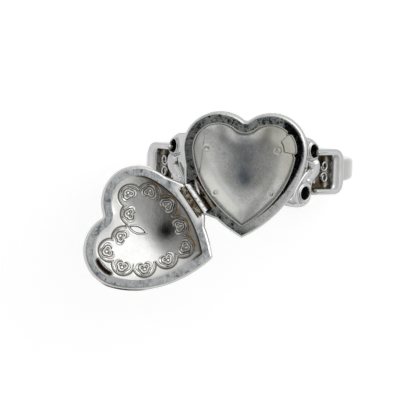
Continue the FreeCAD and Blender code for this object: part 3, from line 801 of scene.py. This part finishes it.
def make_motifs():
    patches = [relief_patch(centre, (1.05, 1.05), 0.035, motif_height(centre, inward))
               for centre, inward in MOTIFS]
    verts, faces = joined([patch[:2] for patch in patches])
    add_relief("small_hearts", "heart_motifs", verts, faces,
               {"hollow": np.concatenate([patch[2] for patch in patches]),
                "stain": np.zeros(len(verts)),
                "shade": 0.35 * smooth(5.0, 3.5, from_hinge(verts))})


def outside_scallops(x, y):
    """Distance outside the scalloped edge, which follows the small hearts."""
    near = np.full(x.shape, 1e9)
    for centre, inward in MOTIFS:
        middle = centre + inward * 0.25
        near = np.minimum(near, np.hypot(x - middle[0], y - middle[1]))
    return np.minimum(near - SCALLOP_R, 2.6 - heart_depth(x, y))


def field_height(x, y):
    """A step at the scalloped edge, with a raised lip."""
    depth = heart_depth(x, y)
    away = outside_scallops(x, y)
    level = np.minimum(dome_inside_z(x, y) - (LID_Z + FIELD_Z), 0.46)
    lip = 0.07 * bump_at(away, 0.09, 0.05) - 0.06 * bump_at(away, 0.22, 0.06)
    rise = smooth(-0.03, 0.06, away)
    height = (level + lip) * rise - 0.12 * (1 - rise)
    turned, reach = lobe_polar(x, y)
    slot = smooth(30, 18, np.abs(turned - CATCH_TURN - 8)) * bump_at(reach, 2.52, 0.20)
    height = height - 0.3 * slot * rise
    # hollow: painted shade with patina at the step and the lip's groove, and near black painted
    # shade in the slot
    hollow = np.clip(0.9 * bump_at(away, 0.22, 0.085) + 1.0 * bump_at(away, -0.01, 0.07), 0, 1)
    hollow = np.maximum(hollow, 1.7 * slot)
    height = np.where(depth < LID_RIM_W - 0.1, -1, height)
    return height, hollow


def make_field():
    verts, faces, hollow = relief_patch((0, -0.2), (6.0, 6.4), 0.045, field_height)
    toward = from_hinge(verts)
    x, y, _ = verts.T
    # a painted shadow of the deep wall, along the field's edge on the hinge side
    line = bump_at(heart_depth(x, y), LID_RIM_W + 0.08, 0.15) * smooth(4.0, 2.8, toward)
    stain = bump_at(outside_scallops(x, y), 0.22, 0.16)
    add_relief("scalloped_edge", "lid_field", verts, faces,
               {"hollow": np.maximum(hollow, 1.5 * line), "stain": stain * smooth(3.8, 2.6, toward),
                "shade": 0.18 + 0.42 * smooth(5.0, 2.8, toward)})


def marquise_height(x, y):
    """Pointed oval along the heart's axis, from two arcs."""
    half_length, half_width = 1.05, 0.46
    r = (half_length ** 2 + half_width ** 2) / (2 * half_width)
    s = np.hypot(np.abs(x) + r - half_width, y - MARQUISE_Y) - r
    height = (0.13 * smooth(0.05, -0.06, s) + 0.09 * bump_at(s, -0.07, 0.045)
              - 0.10 * smooth(-0.11, -0.20, s) - 0.1 * smooth(0.0, 0.1, s))
    # the grooves painted near black: painted shade with patina
    return height, 1.1 * bump_at(s, -0.17, 0.05) + 1.1 * bump_at(s, 0.03, 0.05)


def make_marquise():
    verts, faces, hollow = relief_patch((0, MARQUISE_Y), (0.62, 1.26), 0.03, marquise_height)
    add_relief("marquise", "marquise_loop", verts, faces,
               {"hollow": hollow, "stain": np.zeros(len(verts))})


make_motifs()
make_field()
make_marquise()


# ---------- shank
def make_shank():
    """A round band with small corners inside and large ones outside, flat under the box."""
    half, small, large = BAND_W / 2, 0.12, 0.5
    profile = []
    for cx, cy, r, start in (
            (BORE_R + small, small - half, small, 180), (BAND_R - large, large - half, large, 270),
            (BAND_R - large, half - large, large, 0), (BORE_R + small, half - small, small, 90)):
        for k in range(7):
            a = math.radians(start + 90 * k / 6)
            profile.append((cx + r * math.cos(a), cy + r * math.sin(a)))
    profile = np.array(profile)
    rings = []
    for phi in np.radians(np.arange(0, 360, 1.5)):
        radial = profile[:, 0]
        ring = np.column_stack((radial * math.sin(phi), profile[:, 1], radial * math.cos(phi)))
        ring[:, 2] = np.minimum(ring[:, 2], SEAT_Z - 0.002)
        rings.append(ring)
    verts, faces = loft(rings + rings[:1])
    count = len(rings) * len(profile)
    faces = [tuple(v % count for v in f) for f in faces]
    add_piece("band", verts[:count], faces, "ring", ["shank"], POLISHED,
              {"hollow": np.zeros(count)})


make_shank()


# ---------- shoulders
def on_side(side):
    """Shoulders are modelled on the right, and mirrored for the left."""
    return Matrix.Scale(-1 if side == "left" else 1, 4, Vector((1, 0, 0)))


def slope_matrix(side):
    return (on_side(side) @ Matrix.Translation(Vector((SLOPE_AT[0], 0, SLOPE_AT[1])))
            @ Matrix.Rotation(math.radians(SLOPE), 4, "Y"))


BOW_OUTLINE = (
    (-1.2, 3.3), (-0.3, 3.5), (0.5, 3.5), (1.2, 3.3), (1.75, 2.95), (2.1, 2.5), (1.95, 2.0),
    (1.85, 1.5), (2.11, 0.99), (2.24, 0.4), (2.08, -0.25), (1.6, -0.75), (1.34, -0.95),
    (1.27, -1.41), (1.26, -2.2), (1.05, -2.9), (0.5, -3.4), (-0.35, -3.6), (-1.2, -3.5),
    (-1.85, -3.3), (-2.5, -3.0), (-2.9, -2.5), (-2.6, -1.5), (-2.0, 0.0), (-1.6, 1.5),
    (-1.5, 2.8))
LIMB = ((0.42, 0.10), (-0.2, -0.5), (-0.76, -1.16), (-1.29, -2.02), (-1.35, -2.6), (-1.0, -3.1),
        (-0.3, -3.4), (0.5, -3.2), (1.0, -2.6), (1.05, -1.9), (0.85, -1.3), (0.6, -0.9))
LIMB_GROOVE = ((0.1, 0.35), (-0.35, -0.15), (-0.9, -0.8), (-1.45, -1.6), (-1.85, -2.5))
RIBBON = ((1.7, 1.6), (1.9, 0.4), (1.2, -0.6))
UPPER_GROOVE = ((1.9, 1.48), (1.3, 1.25), (0.8, 1.22), (0.2, 1.4))
DIMPLE = (0.59, 0.49)  # in the knot, where the creases meet
CREASES = tuple((DIMPLE, end) for end in ((0.45, 0.95), (0.95, 0.30), (0.22, 0.12)))
HOLES = ((1.2, 2.12, 0.50, 0.66, 10.0), (0.17, -2.1, 0.55, 0.66, -18.0))  # u, v, two radii, lean


def rounded(points, closed=True, times=3):
    """Corner cutting, which turns a coarse polygon into a smooth one."""
    points = np.array(points, dtype=float)
    for _ in range(times):
        after = np.roll(points, -1, axis=0)
        cut = np.stack((points * 0.75 + after * 0.25, points * 0.25 + after * 0.75), axis=1)
        cut = cut.reshape(-1, 2)
        points = cut if closed else np.concatenate((points[:1], cut[:-2], points[-1:]))
    return points


def nearest_on_line(u, v, points, closed=False):
    """Distance to a polyline and the nearest point on it."""
    start = np.array(points, dtype=float)
    end = np.roll(start, -1, axis=0)
    if not closed:
        start, end = start[:-1], end[:-1]
    best = np.full(u.shape, 1e9)
    at_u, at_v = np.zeros(u.shape), np.zeros(u.shape)
    for (u0, v0), (u1, v1) in zip(start, end):
        du, dv = u1 - u0, v1 - v0
        t = np.clip(((u - u0) * du + (v - v0) * dv) / (du * du + dv * dv + 1e-12), 0, 1)
        pu, pv = u0 + t * du, v0 + t * dv
        away = np.hypot(u - pu, v - pv)
        closer = away < best
        best = np.where(closer, away, best)
        at_u, at_v = np.where(closer, pu, at_u), np.where(closer, pv, at_v)
    return best, at_u, at_v


def inside_of(u, v, points):
    """True inside a closed polygon."""
    result = np.zeros(u.shape, dtype=bool)
    after = np.roll(points, -1, axis=0)
    for (u0, v0), (u1, v1) in zip(points, after):
        crosses = (v0 > v) != (v1 > v)
        edge_u = (u1 - u0) * (v - v0) / (v1 - v0 + 1e-12) + u0
        result ^= crosses & (u < edge_u)
    return result


def hole_reach(u, v, hole):
    """Distance outside an oval hole, roughly; negative inside."""
    hu, hv, ru, rv, lean = hole
    a = math.radians(lean)
    p = (u - hu) * math.cos(a) + (v - hv) * math.sin(a)
    q = -(u - hu) * math.sin(a) + (v - hv) * math.cos(a)
    return (np.hypot(p / ru, q / rv) - 1) * min(ru, rv)


def bow_surface(u, v, depth):
    """Height over the slope, and how far a point lies in a recess."""
    def line(points, width):
        return bump_at(nearest_on_line(u, v, rounded(points, False))[0], 0, width)

    t = np.clip(depth / 0.42, 0, 1)
    w = -0.40 * (1 - np.sqrt(1 - (1 - t) ** 2))
    inner = smooth(0.1, 0.4, depth)
    w = w + 0.12 * line(LIMB, 0.20) * inner - 0.30 * line(LIMB_GROOVE, 0.14)
    w = w + 0.10 * line(RIBBON, 0.42) - 0.24 * line(UPPER_GROOVE, 0.10) * inner
    recess = spot_at(u, v, *DIMPLE, 0.2)
    crease = np.zeros(u.shape)
    for points in CREASES:
        crease = np.maximum(crease, bump_at(nearest_on_line(u, v, points)[0], 0, 0.07))
    w = w - 0.22 * recess - 0.15 * crease
    # hollow: painted shade with patina in the recess, creases and groove; the holes are painted
    # near black, painted shade
    hollow = np.clip(0.55 * recess + 0.6 * crease + 0.45 * line(LIMB_GROOVE, 0.10), 0, 1)
    well = np.zeros(u.shape)
    for hole in HOLES:
        reach = hole_reach(u, v, hole)
        w = w + 0.05 * bump_at(reach, 0.10, 0.07) - 0.10 * bump_at(reach, 0.30, 0.12)
        well = np.maximum(well, smooth(0.03, -0.10, reach))
    return w * (1 - well) - 0.95 * well, np.maximum(hollow, 1.0 * (well > 0.25)), well


def walls_down(top, faces, level):
    """Points and faces that close a sheet downwards, to a flat bottom at a level."""
    edges = dict.fromkeys(edge for f in faces for edge in zip(f, f[1:] + f[:1]))
    border = [(a, b) for a, b in edges if (b, a) not in edges]
    follow = dict(border)
    rim = sorted(follow)
    under = {k: len(top) + n for n, k in enumerate(rim)}
    low = top[rim]
    low[:, 2] = level
    walls = [(b, a, under[a], under[b]) for a, b in border]
    loop, at = [under[rim[0]]], follow[rim[0]]
    while at != rim[0]:
        loop.append(under[at])
        at = follow[at]
    return low, walls + [tuple(loop[::-1])]


def make_bow(side):
    """Two loops, the knot between them and the limb that runs round the lower loop."""
    outline = rounded(BOW_OUTLINE)
    cell = 0.045
    us, vs = (np.arange(values.min() - cell, values.max() + 2 * cell, cell) for values in outline.T)
    u, v = (grid.ravel() for grid in np.meshgrid(us, vs))
    away, at_u, at_v = nearest_on_line(u, v, outline, closed=True)
    depth = np.where(inside_of(u, v, outline), away, -away)
    on_edge = depth < 0.3 * cell
    u, v = np.where(on_edge, at_u, u), np.where(on_edge, at_v, v)
    w, hollow, well = bow_surface(u, v, np.where(on_edge, 0, depth))
    faces, used = grid_faces(len(us), len(vs), depth > -0.7 * cell)
    top = np.column_stack((u, v, w))[used]
    low, walls = walls_down(top, faces, -BOW_T)
    # faces deep in a hole get the near black painted hole shade
    dark = [all(well[used[k]] > 0.3 for k in f) for f in faces]
    obj = add_piece(f"{side}_bow", np.concatenate((top, low)), faces + walls, "ring",
                    [f"{side}_upper_bow", f"{side}_knot", f"{side}_lower_bow"],
                    POLISHED,
                    {"hollow": np.concatenate((hollow[used], np.zeros(len(low))))},
                    slope_matrix(side))
    obj.data.materials.append(HOLE_SHADE)
    for polygon, black in zip(obj.data.polygons, dark):
        polygon.material_index = int(black)


def quarter(count):
    """Sine and cosine along a quarter turn, without its start."""
    for a in np.radians(np.linspace(0, 90, count + 1)[1:]):
        yield math.sin(a), math.cos(a)


def on_band(phi, y, r):
    """Points at angle phi (degrees from +Z) and radius r about the finger's axis."""
    a = np.radians(phi)
    return np.column_stack((r * np.sin(a), y, r * np.cos(a)))


def make_collar(side):
    """A rounded frame across the band, open towards the box, with a pocket in the middle."""
    corner, inner_corner = 1.45, 0.45
    to_angle = math.degrees(1 / COLLAR_R)
    half, inner_half = COLLAR_HALF_W, COLLAR_HALF_W - COLLAR_RAIL
    inner_to = COLLAR_TO - COLLAR_END
    turn_phi, inner_turn = COLLAR_TO - corner * to_angle, inner_to - inner_corner * to_angle
    straight, bend = 16, 10       # points along one side and round its corner
    path = []                     # outer angle and y, inner angle and y
    for t in np.linspace(0, 1, straight):
        path.append((COLLAR_FROM + (turn_phi - COLLAR_FROM) * t, half,
                     COLLAR_FROM + (inner_turn - COLLAR_FROM) * t, inner_half))
    for sin, cos in quarter(bend):
        path.append((turn_phi + corner * to_angle * sin, half - corner * (1 - cos),
                     inner_turn + inner_corner * to_angle * sin,
                     inner_half - inner_corner * (1 - cos)))
    for t in np.linspace(0, 1, 14)[1:-1]:
        path.append((COLLAR_TO, (half - corner) * (1 - 2 * t),
                     inner_to, (inner_half - inner_corner) * (1 - 2 * t)))
    path += [(p, -y, q, -z) for p, y, q, z in path[straight + bend - 1::-1]]
    out_phi, out_y, in_phi, in_y = np.array(path).T
    # (share of the way from the outside to the pocket, radius)
    crown = COLLAR_R
    section = [(1.0, COLLAR_IN_R + 0.05), (0.08, COLLAR_IN_R + 0.02), (0.0, COLLAR_IN_R + 0.12),
               (0.0, crown - 0.62)]
    section += [(0.52 * (1 - cos), crown - 0.60 + 0.60 * sin) for sin, cos in quarter(9)]
    section += [(0.60, crown - 0.01), (0.68, crown - 0.04)]
    section += [(0.72 + 0.28 * sin, crown - 0.32 + 0.26 * cos) for sin, cos in quarter(6)]
    section += [(1.0, crown - 0.6), (1.0, BAND_R + 0.12), (1.08, BAND_R + 0.01)]
    rings = []
    for u, r in section:
        phi = out_phi + (in_phi - out_phi) * u
        y = out_y + (in_y - out_y) * u
        rings.append(on_band(phi, y, r))
    rings.append(on_band(np.minimum(in_phi, inner_to - 1.5), in_y * 0.02, BAND_R + 0.004))
    verts, faces = loft(rings, close_loop=False)
    n = len(out_phi)
    faces.append(tuple(k * n for k in range(len(rings))))
    faces.append(tuple(k * n + n - 1 for k in range(len(rings)))[::-1])
    # the pocket's walls painted darker: painted shade with patina
    side_wall = smooth(0.5, 1.2, np.abs(in_y)) * smooth(inner_to + 0.5, inner_to - 4, in_phi)
    hollow = np.concatenate([np.zeros(n) if k < 4 or r > crown - 0.2 or u < 0.9
                             else (0.45 + 0.55 * side_wall) * (0.6 if r > BAND_R + 0.3 else 1.0)
                             for k, (u, r) in enumerate(section)] + [0.40 + 0.1 * side_wall])
    add_piece(f"{side}_collar_frame", verts, faces, "ring", [f"{side}_collar"],
              POLISHED, {"hollow": hollow}, on_side(side))


def make_curls(side):
    """Two small scrolls in the pocket, each most of a turn, thinner at its ends."""
    parts = []
    middle = math.radians(CURLS_AT)
    out = np.array((math.sin(middle), 0, math.cos(middle)))
    along = np.array((math.cos(middle), 0, -math.sin(middle)))
    round_tube = np.linspace(0, 2 * math.pi, 12, endpoint=False)[:, None]
    for sign in (-1, 1):
        centre = out * (BAND_R + 0.16) + np.array((0, 0.62 * sign, 0))
        rings = []
        for t in np.linspace(0, 1, 56):
            a = sign * math.radians(-170 + 450 * t)
            radius = 0.46 - 0.28 * t
            tube = 0.13 * math.sin(math.pi * min(1, max(0, 0.10 + 0.8 * t))) ** 0.5
            direction = math.cos(a) * along + math.sin(a) * np.array((0, 1.2, 0))
            rings.append(centre + direction * (radius + tube * np.cos(round_tube))
                         + out * tube * (0.35 + 1.3 * np.sin(round_tube)))
        parts.append(loft(rings, cap_start=True, cap_end=True))
    verts, faces = joined(parts)
    # the scrolls painted a little darker: painted shade in the pocket, with patina
    add_piece(f"{side}_scrolls", verts, faces, "ring", [f"{side}_curls"],
              POLISHED, {"hollow": np.full(len(verts), 0.2)}, on_side(side))


for side in ("right", "left"):
    make_bow(side)
    make_collar(side)
    make_curls(side)


# ---------- floor, lights and camera
def make_floor():
    low = CAD_BOX[0][2]
    mesh = bpy.data.meshes.new("floor")
    reach = 1.2
    corners = [(x * reach, y * reach, low) for x, y in ((-1, -1), (1, -1), (1, 1), (-1, 1))]
    mesh.from_pydata(corners, [], [(0, 1, 2, 3)])
    look = Look("floor_white", (0.93, 0.93, 0.93), 0.9, 0.0)
    look.feed(look.shader.inputs["Emission Color"], (1, 1, 1))
    look.feed(look.shader.inputs["Emission Strength"], 0.30)
    look.done()
    mesh.materials.append(look.material)
    floor = bpy.data.objects.new("floor", mesh)
    bpy.context.scene.collection.objects.link(floor)


SKY_LEVELS = ((0.0, 0.85), (0.12, 0.60), (0.25, 0.42), (0.42, 0.55), (0.7, 0.80), (0.85, 1.05),
              (1.0, 1.4))            # brightness by the cosine of the angle from the light side
PATCH_LEVELS = ((0.0, 1.0), (0.939, 1.0), (0.980, 0.80), (0.9928, 0.62), (0.99755, 0.30),
                (0.9993, 0.05))      # the same from the middle of the dark patch
SKY_STRENGTH = 1.4


def levels(sky, value, stops):
    """Grey level by value, through a colour ramp."""
    node = sky.add("ValToRGB", {"Fac": value})
    node.color_ramp.interpolation = "EASE"
    found = node.color_ramp.elements
    while len(found) < len(stops):
        found.new(0.5)
    for stop, (position, level) in zip(found, stops):
        stop.position = position
        stop.color = (level, level, level, 1)
    return node.outputs["Color"]


def make_world():
    """Soft surroundings: bright to the back right, dim to the left and front, and nearly black
    in a small patch overhead, like the reflection of a photographer's lens."""
    world = bpy.data.worlds.new("studio")
    bpy.context.scene.world = world
    world.use_nodes = True
    sky = Nodes(world.node_tree, "Generated")
    light = levels(sky, sky.place((0.62, 0.48, 0.62)),
                   [(position, level / SKY_STRENGTH) for position, level in SKY_LEVELS])
    patch = levels(sky, sky.place((-0.055, -0.055, 1.0)), PATCH_LEVELS)
    # a dim tail from the patch towards the front
    off_middle = sky.maths("ABSOLUTE", sky.plus(sky.place((1, 0, 0)), 0.05))
    tail = sky.times(sky.ramp(off_middle, 0.06, 0.26, 1.0, 0.0),
                     sky.ramp(sky.place((0, 1, 0)), -0.25, -0.05, 1.0, 0.0))
    tail = sky.times(tail, sky.ramp(sky.place(UP), 0.0, 0.4))
    tail = sky.minus(1.0, sky.times(tail, 0.55))
    back = sky.nodes["Background"]
    colour = sky.mix(1.0, sky.mix(1.0, light, patch, blend="MULTIPLY"), tail, blend="MULTIPLY")
    sky.feed(back.inputs["Color"], colour)
    sky.feed(back.inputs["Strength"], SKY_STRENGTH)


def make_key_light():
    """A weak square lamp, high on the bright side."""
    data = bpy.data.lights.new("key", "AREA")
    data.shape = "RECTANGLE"
    data.size = data.size_y = 0.2
    data.energy = 0.08
    obj = bpy.data.objects.new("key", data)
    bpy.context.scene.collection.objects.link(obj)
    obj.location = (0.17, 0.13, 0.16)
    aim = Vector((0, 0, 0.01)) - obj.location
    obj.rotation_euler = aim.to_track_quat("-Z", "Y").to_euler()


def make_camera():
    distance, view_width, sensor = 0.250, 0.0416, 36
    tilt_x, tilt_y, roll = math.radians(5.0), math.radians(4.4), math.radians(2.0)
    target = Vector((HEART_AT[0] - 3.44, HEART_AT[1] - 3.42, RIM_Z)) * MM
    back = Vector((math.tan(tilt_x), math.tan(tilt_y), 1)).normalized()
    up = Vector((-math.sin(roll), math.cos(roll), 0))
    right = up.cross(back).normalized()
    up = back.cross(right)
    data = bpy.data.cameras.new("camera")
    data.sensor_width = sensor
    data.lens = sensor * distance / view_width
    data.clip_start = 0.01
    obj = bpy.data.objects.new("camera", data)
    bpy.context.scene.collection.objects.link(obj)
    obj.matrix_world = (Matrix.Translation(target + back * distance)
                        @ Matrix((right, up, back)).transposed().to_4x4())
    bpy.context.scene.camera = obj


make_floor()
make_world()
make_key_light()
make_camera()
bpy.context.scene.view_settings.view_transform = "Standard"
